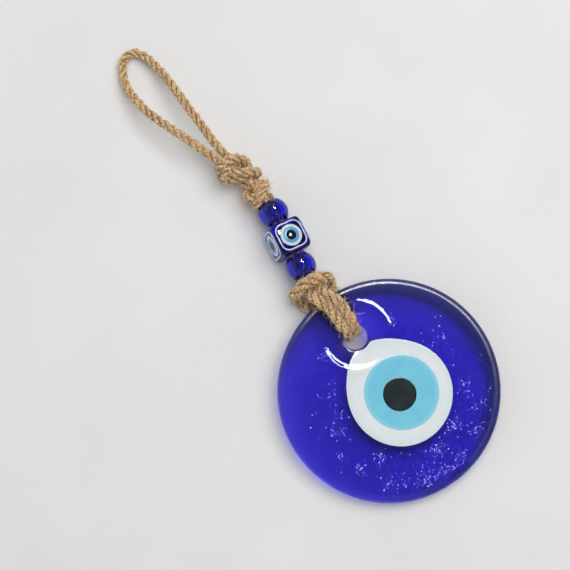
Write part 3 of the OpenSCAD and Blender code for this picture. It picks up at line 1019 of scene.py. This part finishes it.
@dataclass
class GlassDisc:
    """The pressed cobalt disc with its hole, its crater and its fused eye."""

    finishes: Finishes
    radius: float = 55.5
    thickness: float = 7.0
    edge: float = 2.6
    hole_radius: float = 6.4
    hole_x: float = 0.7
    hole_y: float = 31.4
    crater_radius: float = 17.0
    crater_depth: float = 1.25
    ridge_height: float = 0.5
    shoulder: float = 0.25
    under: float = 1.2
    # offset of the circle that bounds the painted shade crescent along the rim
    shade_crescent: tuple[float, float] = (4.4, 1.2)
    hole_round: float = 1.0
    tilt: float = 3.8563
    around: int = 144

    @property
    def seat(self) -> Matrix:
        """Frame of the disc: its origin in the middle of its back, +Z out of its face."""
        return Matrix.Translation((0, -81.5, 3.5637)) @ turned(self.tilt, "X")

    def face(self, x: np.ndarray, y: np.ndarray) -> np.ndarray:
        """Height of the pressed face above the back.

        Args:
            x: places across the disc.
            y: places along the disc.

        Returns:
            The height at each place, with the crater, its ridge and the shallow ripples.
        """
        away = np.hypot(x - self.hole_x, y - self.hole_y)
        share = np.clip((away - self.hole_radius) / (self.crater_radius - self.hole_radius), 0, 1)
        crater = self.crater_depth * (1 - share) ** 1.4
        ridge = self.ridge_height * np.exp(-(((away - self.crater_radius - 0.2) / 2.0) ** 2))
        rim = np.clip((self.radius - 3 - np.hypot(x, y)) / 8, 0, 1)
        fall = self.shoulder * np.clip(1 - (self.radius - self.edge - np.hypot(x, y)) / 6.5, 0, 1.1) ** 2.2
        ripple = 0.07 * np.sin(x / 8.7 + 1) * np.sin(y / 10.3) + 0.03 * np.sin(x / 3.9 + y / 5.1)
        return self.thickness - crater - fall + (ridge + ripple) * rim

    def ring(self, radius: float, drift: float, height: float | None) -> np.ndarray:
        """One ring of the disc's skin.

        Args:
            radius: radius of the ring.
            drift: 0 for a ring about the hole, 1 for a ring about the disc's middle.
            height: height of the ring, or None to lie on the pressed face.

        Returns:
            The ring's points.
        """
        turn = np.linspace(0, math.tau, self.around, endpoint=False)
        wave = 1 + drift * (0.0018 * np.sin(2 * turn + 0.6) + 0.0009 * np.sin(5 * turn))
        x = (1 - drift) * self.hole_x + radius * wave * np.cos(turn)
        y = (1 - drift) * self.hole_y + radius * wave * np.sin(turn)
        z = self.face(x, y) if height is None else np.full_like(x, height)
        return np.stack([x, y, z], axis=1)

    def shade(self, x: float, y: float) -> float:
        """How strongly painted shade darkens the glass at a place: a crescent along one side of the rim."""
        away = math.hypot(x + self.shade_crescent[0], y + self.shade_crescent[1])
        return float(np.clip((away - self.radius + 5.2) / 1.8, 0, 1))

    def body(self) -> Piece:
        """Presses the disc itself."""
        hole, soft = self.hole_radius, self.hole_round
        lip = self.thickness - self.crater_depth + 0.15 - soft
        inner, outer, base = 21.0, self.radius - self.edge, self.radius - self.under
        rings = [self.ring(hole, 0, z) for z in (2.2, 3.6, lip)]
        for turn in np.radians(np.linspace(0, 82, 8)[1:]):
            rings.append(self.ring(hole + soft * (1 - math.cos(turn)), 0, lip + soft * math.sin(turn)))
        rings += [self.ring(r, 0, None) for r in np.arange(hole + soft + 0.3, inner, 0.4)]
        for share in np.linspace(0, 1, 34)[1:]:
            rings.append(self.ring(inner + (outer - inner) * share, share, None))
        first = math.radians(6)
        for turn in np.linspace(first, math.pi / 2, 9)[1:]:
            out = (math.sin(turn) - math.sin(first)) / (1 - math.sin(first))
            drop = self.shoulder + self.edge * (math.cos(first) - math.cos(turn)) * 0.9
            rings.append(self.ring(outer + self.edge * out, 1, self.thickness - drop))
        for turn in np.radians(np.linspace(0, 90, 9)[1:])[::-1]:
            rings.append(self.ring(base + self.under * math.sin(turn), 1, self.under * (1 - math.cos(turn))))
        for share in np.linspace(1, 0, 16):
            rings.append(self.ring(9 + (base - 9) * share, share, 0.0))
        rings += [self.ring(hole + 1.2, 0, 0.05), self.ring(hole + 0.5, 0, 0.4), self.ring(hole, 0, 1.1)]
        bm = Workshop.shell(np.array(rings))
        # painted shade: a crescent along one side of the rim where the glass's tint is darkened
        shade = [self.shade(v.co.x, v.co.y) for v in bm.verts]
        rim = [float(math.hypot(v.co.x, v.co.y) > self.radius - self.edge - 0.1) for v in bm.verts]
        disc = Workshop.finish(bm, "disc_glass", self.seat)
        Workshop.note(disc, "shade", shade)
        Workshop.note(disc, "rim", rim)
        return Workshop.dress(disc, self.finishes.disc_glass, "cobalt_glass", "glass_disc", "disc")

    def layer(
        self, name: str, node: str, centre: tuple[float, float], radius: float, sink: float,
        proud: float, finish: Material, slot: str, pull: float = 0.0,
    ) -> Piece:
        """Pours one layer of the eye.

        Args:
            name: the piece's name.
            node: the CAD node that the piece stands for.
            centre: middle of the layer on the disc.
            radius: radius of the layer.
            sink: how far the layer reaches below the face.
            proud: how far it stands above the face.
            finish: the layer's glass.
            slot: the record's material slot.
            pull: how far the layer's outline is drawn out towards the hole, as a share.

        Returns:
            The layer.
        """
        top, soft = self.thickness + proud, 0.35
        clear = self.hole_radius + self.hole_round + 0.05
        section = [(0, self.thickness - sink), (radius - 0.3, self.thickness - sink)]
        section += [(radius, self.thickness - sink + 0.3), (radius, top - soft)]
        for turn in np.radians([25, 50, 75, 90]):
            section.append((radius - soft + soft * math.cos(turn), top - soft + soft * math.sin(turn)))
        section += [((radius - soft) * share, top) for share in np.linspace(1, 0, round(radius * 1.8))[1:]]
        bm = Workshop.lathe(section, 144)
        rim = [math.hypot(v.co.x, v.co.y) / radius for v in bm.verts]
        to_hole = math.atan2(self.hole_y - centre[1], self.hole_x - centre[0])
        lean, breadth = 0.06, 0.55  # radians by which the pull misses the hole and spreads
        for vert in bm.verts:
            turn = math.atan2(vert.co.y, vert.co.x)
            bend = math.remainder(turn - to_hole - lean, math.tau) / breadth
            stretch = 1 + pull * math.exp(-bend * bend) + 0.004 * math.sin(3 * turn + radius)
            x, y = centre[0] + vert.co.x * stretch, centre[1] + vert.co.y * stretch
            dx, dy = x - self.hole_x, y - self.hole_y
            away = math.hypot(dx, dy)
            if away < clear:
                share = clear / max(away, 1e-6)
                x, y = self.hole_x + dx * share, self.hole_y + dy * share
            lift = float(self.face(np.array(x), np.array(y))) - self.thickness
            depth = np.clip((vert.co.z - self.thickness + sink) / sink, 0, 1)
            vert.co = (x, y, vert.co.z + lift * depth)
        piece = Workshop.finish(bm, name, self.seat)
        Workshop.note(piece, "rim", rim)
        return Workshop.dress(piece, finish, slot, node, "disc")

    def eye(self) -> list[Piece]:
        """Pours the white, the light blue and the black layer."""
        f = self.finishes
        return [
            self.layer("eye_white_layer", "eye_white", (3.5, -4.2), 26.1, 2.4, 0.18, f.white,
                       "white_glass", pull=0.16),
            self.layer("eye_blue_layer", "eye_iris", (4.3, -4.1), 18.8, 1.4, 0.36, f.light_blue,
                       "light_blue_glass"),
            self.layer("eye_pupil_layer", "eye_pupil", (2.9, -4.4), 8.4, 0.8, 0.52, f.black,
                       "black_glass"),
        ]

    def bubbles(self) -> Piece:
        """Scatters the clusters of tiny bubbles under the face, which glow as painted glints."""
        rng = np.random.default_rng(7)
        clusters = [
            (16.9, -31.6, 4, 44), (3.5, -36.5, 5, 50), (-22.3, -25.1, 3.5, 26),
            (-33.5, -23.9, 3.5, 22), (-9.6, -46.2, 6, 70), (2.4, -47.2, 5, 36),
            (24.8, -38.9, 4.5, 26), (30.8, -18.5, 4.5, 24), (34.6, -31.0, 3.5, 14),
            (-33.8, -2.6, 4.5, 24), (-28.0, 4.7, 4, 14), (-25.5, 14.5, 4, 12),
            (-25.4, -37.6, 6, 30), (11.6, -46.0, 4, 22), (-16.8, 33.7, 4, 12),
            (34.9, 8.1, 3.5, 12), (19.9, 27.5, 3.5, 14), (-39.5, -14.0, 4, 10),
        ]
        spots = [
            (x, y) for cx, cy, spread, count in clusters
            for x, y in rng.normal((cx, cy), (spread * 0.62, spread * 0.5), (count, 2))
        ]
        spots += [(x, y) for x, y in rng.uniform((-48, -50), (48, 20), (150, 2))]
        edge_clear, eye_clear, hole_clear = 4.5, 27.5, 13.0
        bm = bmesh.new()
        for x, y in spots:
            if math.hypot(x, y) > self.radius - edge_clear or math.hypot(x - 3.5, y + 4.2) < eye_clear:
                continue
            if math.hypot(x - self.hole_x, y - self.hole_y) < hole_clear:
                continue
            size = 0.17 + 0.23 * rng.uniform() ** 2
            depth = float(self.face(np.array(x), np.array(y))) - size - rng.uniform(0.1, 0.9)
            shape = Matrix.Translation((x, y, depth)) @ turned(rng.uniform(0, 180), "Z")
            shape = shape @ Matrix.Diagonal((rng.uniform(1, 1.5), 1, 0.8, 1))
            bmesh.ops.create_icosphere(bm, subdivisions=1, radius=size, matrix=shape)
        piece = Workshop.finish(bm, "disc_bubble_glints", self.seat)
        return Workshop.dress(piece, self.finishes.bubble_glint, "cobalt_glass", body="disc")


# ------------ beads


@dataclass
class BeadRow:
    """The round, the cube and the round bead above the hitch."""

    finishes: Finishes
    bead_radius: float = 7.65
    bore_radius: float = 4.6
    cube_half: float = 8.5
    cube_edge: float = 2.6
    cube_roll: float = 15.0
    places: tuple[float, float, float] = (9.6125, 24.825, 40.0375)

    @staticmethod
    def seat(along: float) -> Matrix:
        """Frame of the row: +Y along the doubled rope, from the middle of the hitch's band."""
        start = Matrix.Translation((-2.8, -15.6257, 9.926)) @ turned(-7, "Z")
        return start @ Matrix.Translation((0, along, 0))

    def round_bead(self, name: str, node: str, body: str, along: float) -> Piece:
        """Turns one round bead with its bore and softened bore edges.

        Args:
            name: the piece's name.
            node: the CAD node that the piece stands for.
            body: the body that it rides on.
            along: its place along the row.

        Returns:
            The bead.
        """
        bore, rim = self.bore_radius, self.bore_radius + 0.45
        high = math.sqrt(self.bead_radius**2 - rim**2)
        section = [(bore, -high + 0.6), (bore, 0.0), (bore, high - 0.6), (bore + 0.12, high - 0.15)]
        tip = math.asin(rim / self.bead_radius)
        for turn in np.linspace(tip, math.pi - tip, 40):
            section.append((self.bead_radius * math.sin(turn), self.bead_radius * math.cos(turn)))
        section += [(bore + 0.12, -high + 0.15), section[0]]
        seat = self.seat(along) @ turned(90, "X")
        bead = Workshop.finish(Workshop.lathe(section, 72), name, seat)
        return Workshop.dress(bead, self.finishes.bead_glass, "cobalt_glass", node, body)

    @staticmethod
    def outline(inner: float, radius: float, around: int = 128) -> np.ndarray:
        """Points of a rounded square about the origin.

        Args:
            inner: half the width between the middles of its corner arcs.
            radius: radius of the corner arcs.
            around: number of points.

        Returns:
            The points, two numbers each, evenly turned about the origin.
        """
        points = []
        for turn in np.linspace(0, math.tau, around, endpoint=False):
            x, y = math.cos(turn), math.sin(turn)
            wide, thin = max(abs(x), abs(y)), min(abs(x), abs(y))
            reach = (inner + radius) / wide
            if reach * thin > inner:
                middle = inner * (wide + thin)
                reach = middle + math.sqrt(max(middle**2 - 2 * inner**2 + radius**2, 0))
            points.append((x * reach, y * reach))
        return np.array(points)

    @property
    def cube_seat(self) -> Matrix:
        """Frame of the cube bead, with +Z out of its front eye."""
        return self.seat(self.places[1]) @ turned(self.cube_roll, "Y")

    def cube(self) -> Piece:
        """Presses the cube bead with rounded edges around its bore."""
        inner = self.cube_half - self.cube_edge
        circle, square = self.outline(0, 1), self.outline(inner, 0.02)
        widening = ((0.0, 0.0), (self.cube_half - 0.9, 0.0), (self.cube_half - 0.25, 0.15))
        ends = [(high, circle * (self.bore_radius + wider)) for high, wider in widening]
        mouth = circle * (self.bore_radius + 0.6)
        for share in (0.0, 0.35, 0.7, 1.0):
            ends.append((self.cube_half, mouth + (square - mouth) * share))
        for turn in np.radians(np.linspace(0, 90, 9)[1:]):
            corner = self.outline(inner, self.cube_edge * math.sin(turn))
            ends.append((inner + self.cube_edge * math.cos(turn), corner))
        ends += [(high, self.outline(inner, self.cube_edge)) for high in (4.0, 2.0, 0.0)]
        upper = [np.column_stack([p[:, 0], np.full(len(p), y), p[:, 1]]) for y, p in ends]
        lower = [ring * [1, -1, 1] for ring in upper[1:-1][::-1]]
        shell = Workshop.shell(np.array(upper + lower))
        cube = Workshop.finish(shell, "cube_glass", self.cube_seat)
        return Workshop.dress(cube, self.finishes.bead_glass, "cobalt_glass", "cube_bead", "cube")

    def side_seat(self, side: CubeSide) -> Matrix:
        """Frame of one side of the cube, with +Z out of it and its origin on the side."""
        return self.cube_seat @ turned(-90 * side.value, "Y") @ Matrix.Translation((0, 0, self.cube_half))

    def cube_eye(self, side: CubeSide) -> list[Piece]:
        """Pours the three layers of one small eye and the raised line around it, glazed pale as a painted
        highlight.

        Args:
            side: the side of the cube.

        Returns:
            The white, light blue and black layers and the line.
        """
        label = side.name.lower()
        f = self.finishes
        layers = [
            ("white", 5.6, 1.5, 0.12, f.small_white, "white_glass"),
            ("iris", 4.5, 0.9, 0.24, f.small_blue, "light_blue_glass"),
            ("pupil", 2.6, 0.45, 0.38, f.small_black, "black_glass"),
        ]
        pieces = []
        for part, radius, sink, proud, finish, slot in layers:
            section = [(0, -sink), (radius, -sink), (radius, proud - 0.12)]
            section += [(radius - 0.08, proud - 0.03), (radius - 0.22, proud)]
            section += [(radius * s, proud + 0.06 * (1 - s * s)) for s in (0.82, 0.6, 0.4, 0.2, 0)]
            bm = Workshop.lathe(section, 56)
            rim = [math.hypot(v.co.x, v.co.y) / radius for v in bm.verts]
            piece = Workshop.finish(bm, f"small_eye_{part}_{label}", self.side_seat(side))
            Workshop.note(piece, "rim", rim)
            pieces.append(Workshop.dress(piece, finish, slot, f"cube_{part}_{label}", "cube"))
        # raised line whose pale glaze is a painted highlight along the face's edge
        rings = []
        for turn in np.linspace(0, math.tau, 10, endpoint=False):
            p = self.outline(3.0, 3.75 + 0.42 * math.cos(turn))
            swell = 1 + 0.25 * np.sin(np.arange(len(p)) / len(p) * math.tau * 2 + side.value)
            rings.append(np.column_stack([p, 0.24 * math.sin(turn) * swell]))
        shell = Workshop.shell(np.array(rings))
        line = Workshop.finish(shell, f"cube_line_{label}", self.side_seat(side))
        return pieces + [Workshop.dress(line, f.line, "white_glass", body="cube")]


# ------------ rope work


@dataclass
class RopeWork:
    """The hitch, the doubled rope in the beads, the knots and the hanging loop."""

    finishes: Finishes
    disc: GlassDisc
    hitch_radius: float = 3.0
    wrap: float = 6.3

    @property
    def knot_seat(self) -> Matrix:
        """Frame of the two knots: +Y along the rope, from the end next to the beads."""
        return Matrix.Translation((3.0436, 31.967, 9.926)) @ turned(13, "Z")

    @property
    def loop_start(self) -> np.ndarray:
        """Where the two legs of the loop leave the upper knot."""
        return np.array([-3.3225, 59.5415, 9.926])

    def on_disc(self, points: Sequence[Sequence[float]]) -> list[np.ndarray]:
        """Points of the disc's frame, from the hole, in the part's frame."""
        shifted = np.array(points, float) + [self.disc.hole_x, self.disc.hole_y, 0]
        return list(place(self.disc.seat, shifted))

    @staticmethod
    def on_row(points: Sequence[Sequence[float]]) -> list[np.ndarray]:
        """Points of the row's frame in the part's frame."""
        return list(place(BeadRow.seat(0), np.array(points, float)))

    def front_line(self, strand: Strand) -> np.ndarray:
        """Middle line of a front strand: out of the hole, over the face, under the band."""
        s = strand.value
        return smooth_line(
            self.on_disc([
                (s * 2.0 - 0.5, 1.9, 2.6), (s * 2.0 - 0.5, 1.9, 4.6), (s * 2.15 - 0.4, 2.9, 7.6),
                (s * 2.4 - 0.3, 5.6, 9.8), (s * 2.65 - 0.2, 10, 10.2), (s * 2.75 - 0.4, 18, 10.3),
            ])
            + self.on_row([
                (s * 2.8 + 1.3, -9.0, 7.0), (s * 2.8 + 0.9, -5.0, 2.6), (s * 2.8 + 0.2, -1, 0.3),
                (s * 2.6, 2.2, 0), (s * 2.15, 4.6, 0),
            ]),
            0.6,
        )

    def wrap_at(self, strand: Strand, angle: float) -> tuple[float, float, float]:
        """A point of the band around one strand, 0 to the right and 90 on top."""
        a = math.radians(angle)
        return (
            strand.value * 3.05 + self.wrap * math.cos(a),
            -2.2 * abs(math.cos(a)) + 0.3,
            self.wrap * math.sin(a),
        )

    def band_line(self) -> np.ndarray:
        """Middle line of the band over the two strands."""
        left = [self.wrap_at(Strand.LEFT, a) for a in (184, 160, 135, 110, 90)]
        right = [self.wrap_at(Strand.RIGHT, a) for a in (90, 70, 45, 20, -4)]
        return smooth_line(self.on_row(left + right), 0.6)

    def back_line(self, strand: Strand) -> np.ndarray:
        """Middle line of a back strand: from the band's end under the disc into the hole."""
        s = strand.value
        top = np.array(self.on_row([self.wrap_at(strand, 180 if s < 0 else 0)])[0])
        down = [
            top - [0, 0, 0.2], top - [0, 0, 2.0], (top[0] - s * 0.1, top[1] - 1.4, 6.2),
            (top[0] - s * 1.2, top[1] - 4.4, 3.8), (top[0] - s * 2.7, top[1] - 9, 3.15),
            (self.disc.hole_x + s * 6.2, -32.1, 3.1),
        ]
        under = self.on_disc([
            (s * 4.0, 9.9, -3.1), (s * 2.9, 5.2, -3.0), (s * 2.1 - 0.4, 2.4, -1.6),
            (s * 2.0 - 0.5, 1.9, 1.2), (s * 2.0 - 0.5, 1.9, 2.8),
        ])
        return smooth_line([np.array(p, float) for p in down] + under, 0.6)

    def bend_hitch(self, piece: Piece) -> None:
        """Bakes the place of a strand between the beads and the disc into its mesh."""
        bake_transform(piece)

    def hitch(self) -> list[Piece]:
        """Ties the cow hitch through the disc's hole.

        Returns:
            The four strands, their hairs, the band and its hairs.
        """
        jute, hair = self.finishes.jute, self.finishes.hair
        pieces, loose = [], []
        for strand in Strand:
            label = strand.name.lower()
            turn = 0.4 + strand.value
            rope = JuteRope(self.hitch_radius, 15.5, 8.5, start_turn=turn, seed=5 + strand.value)

            def at_start(share: np.ndarray) -> np.ndarray:
                """Thins the strand where the hole squeezes it, at the start of its line."""
                return 0.76 + 0.24 * np.clip((share - 0.04) / 0.2, 0, 1)

            def at_end(share: np.ndarray) -> np.ndarray:
                """Thins the strand where the hole squeezes it, at the end of its line."""
                return at_start(1 - share)

            front, back = self.front_line(strand), self.back_line(strand)
            for side, line, squeeze in (("front", front, at_start), ("back", back, at_end)):
                node = f"hitch_{side}_{label}"
                piece = rope.run(f"hitch_{side}_rope_{label}", node, [line], jute, squeeze=squeeze)
                self.bend_hitch(piece)
                pieces.append(piece)
            loose += [front[8:], back[:-8]]
        strands = JuteRope(self.hitch_radius, seed=9)
        hairs = strands.fuzz("hitch_hairs", loose, 5.2, hair, longest=5.5)
        self.bend_hitch(hairs)
        band_rope = JuteRope(3.15, 16, 9, start_turn=0.9, seed=3)
        band_line = [self.band_line()]
        band = band_rope.run("hitch_band_rope", "hitch_band", band_line, jute, "cord")
        band_hairs = band_rope.fuzz("band_hairs", band_line, 5.5, hair, body="cord")
        return pieces + [hairs, band, band_hairs]

    def doubled(self, line: np.ndarray, half: float, turn: float, pitch: float) -> list[np.ndarray]:
        """The middle lines of two strands side by side along one line.

        Args:
            line: the line between them.
            half: half the distance between the strands.
            turn: angle of the pair at its start, in turns.
            pitch: length of one full twist of the pair.

        Returns:
            The two middle lines.
        """
        run = run_along(line)
        first, second = carried_axes(line)
        angle = math.tau * (run / pitch + turn)
        side = np.cos(angle)[:, None] * first + np.sin(angle)[:, None] * second
        return [line + half * side, line - half * side]

    def bead_cord(self) -> Piece:
        """Threads the doubled rope through the beads."""
        line = smooth_line(self.on_row([(0, 2.6, 0), (0, 20, 0), (0, 35, 0), (0.1, 49.2, 0)]), 0.8)
        pair = self.doubled(line, 2.0, 0.0, 1e6)
        rope = JuteRope(2.0, 13, 7.5, yarns=3, step=0.9, seed=11)
        # the cord inside the beads takes the painted shade copy of the jute
        return rope.run("bead_rope", "bead_cord", pair, self.finishes.shaded_jute, "cord")

    def knot(self, node: str, middle: float, tie: OverhandKnot, twist: float) -> list[Piece]:
        """Ties one knot in the doubled rope.

        Args:
            node: the CAD node that the knot stands for.
            middle: place of the knot's middle along the knots' frame.
            tie: the knot.
            twist: angle of the two strands at the knot's start, in turns.

        Returns:
            The knot and its hairs.
        """
        line = place(self.knot_seat @ Matrix.Translation((0, middle, 0)), tie.middle())
        pair = self.doubled(line, tie.thickness * 0.36, twist, 60)
        rope = JuteRope(tie.thickness * 0.44, 12.5, 7.2, step=0.7, seed=int(10 * tie.width))
        return [
            rope.run(node + "_rope", node, pair, self.finishes.jute, "cord"),
            rope.fuzz(node + "_rope_hairs", pair, 3.2, self.finishes.hair, 3.2, "cord"),
        ]

    def cut_end(self) -> list[Piece]:
        """Leaves the rope's cut and frayed end beside the upper knot."""
        seat = self.knot_seat @ Matrix.Translation((0, 22.6, 0))
        route = [(-3.2, -1.6, 2.4), (-5.2, -0.8, 3.0), (-6.8, 0.1, 2.8), (-8.2, 0.6, 2.2)]
        line = place(seat, smooth_line(route, 0.5))
        rope = JuteRope(2.15, 14, 7.8, seed=21)
        stub = rope.run("cut_end_rope", "cord_end", [line], self.finishes.jute, "cord")
        rng = np.random.default_rng(23)
        tip, way = line[-1], unit(line[-1] - line[-5])
        lines, radii = [], []
        for _ in range(90):
            spread = rng.normal(size=3)
            spread -= way * (spread @ way)
            root = tip - way * 0.8 + unit(spread) * rng.uniform(0, 1.9)
            out = unit(way + spread * 0.22)
            size = rng.uniform(0.9, 1.8)
            t = np.linspace(0, 1, 5)[:, None]
            lines.append(root + out * size * t + spread * 0.25 * t**2)
            radii.append(np.linspace(0.16, 0.07, 5))
        tuft = Workshop.threads("cut_end_fibres", lines, radii, 0)
        return [stub, Workshop.dress(tuft, self.finishes.cut_hair, "jute_rope", body="cord")]

    def loop_line(self) -> np.ndarray:
        """Middle line of the hanging loop, from one leg at the knot round to the other."""
        route = [
            (-2.0, -3.0, 0), (-2.6, -0.3, 0), (-3.4, 3, 0.3), (-5, 7.5, 1.2), (-7, 12.5, 1.8),
            (-9.2, 18, 2), (-11.5, 24, 2), (-14, 30, 1.8), (-16.2, 36, 1), (-18, 42, 0),
            (-19.2, 48, -1.5), (-19.8, 54, -3), (-19.8, 59.5, -4.5), (-18.8, 64.5, -5.8),
            (-17, 69, -6.8), (-14.4, 73, -7.2), (-10.5, 75.2, -7.4), (-6.8, 74.4, -7.3),
            (-4, 71.2, -7), (-2.2, 66, -6), (-1.2, 60, -4.6), (-0.5, 53, -2.8), (-0.3, 45, -1),
            (-0.2, 36, 0.6), (0, 28, 1.6), (0.2, 20, 2), (0.5, 12.5, 1.8), (1, 6.5, 1),
            (1.9, 3.1, 0.2), (2.5, 0.7, 0), (2.9, -2.0, 0),
        ]
        return smooth_line(np.array(route) + self.loop_start, 0.8)

    def loop(self) -> list[Piece]:
        line = self.loop_line()
        rope = JuteRope(2.3, 13.5, 7.6, start_turn=1.2, seed=2)
        loop = rope.run("hanging_loop_rope", "hanging_loop", [line], self.finishes.jute)
        hairs = rope.fuzz("loop_hairs", [line], 1.8, self.finishes.hair, longest=3.0)
        for piece in (loop, hairs):
            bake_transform(piece)
        return [loop, hairs]


# ------------ the hanging


def main() -> None:
    """Builds the whole wall hanging and reports each piece."""
    logging.basicConfig(level=logging.INFO, format="%(name)s: %(message)s")
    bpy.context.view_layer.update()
    studio = Studio()
    studio.camera()
    finishes = Finishes.made()
    disc = GlassDisc(finishes)
    ropes = RopeWork(finishes, disc)
    made = ropes.loop()
    glass = [disc.body(), *disc.eye(), disc.bubbles()]
    made += glass
    beads = BeadRow(finishes)
    low, _, high = beads.places
    lower_bead = beads.round_bead("lower_round_bead", "lower_bead", "low_bead", low)
    made.append(lower_bead)
    made.append(beads.cube())
    for side in CubeSide:
        made += beads.cube_eye(side)
    upper_bead = beads.round_bead("upper_round_bead", "upper_bead", "high_bead", high)
    made.append(upper_bead)
    made += ropes.hitch()
    made.append(ropes.bead_cord())
    made += ropes.knot("lower_knot", 5.5, OverhandKnot(5.0, 14.6, 12.4, 40), 0.1)
    made += ropes.knot("upper_knot", 19.6, OverhandKnot(5.5, 17.5, 17.2, 200), 0.3)
    made += ropes.cut_end()
    for piece in made:
        LOG.info("%s: %d faces", piece.name, len(piece.data.polygons))
    studio.floor()
    studio.light(glass, [lower_bead, upper_bead])


if __name__ == "__main__":
    main()
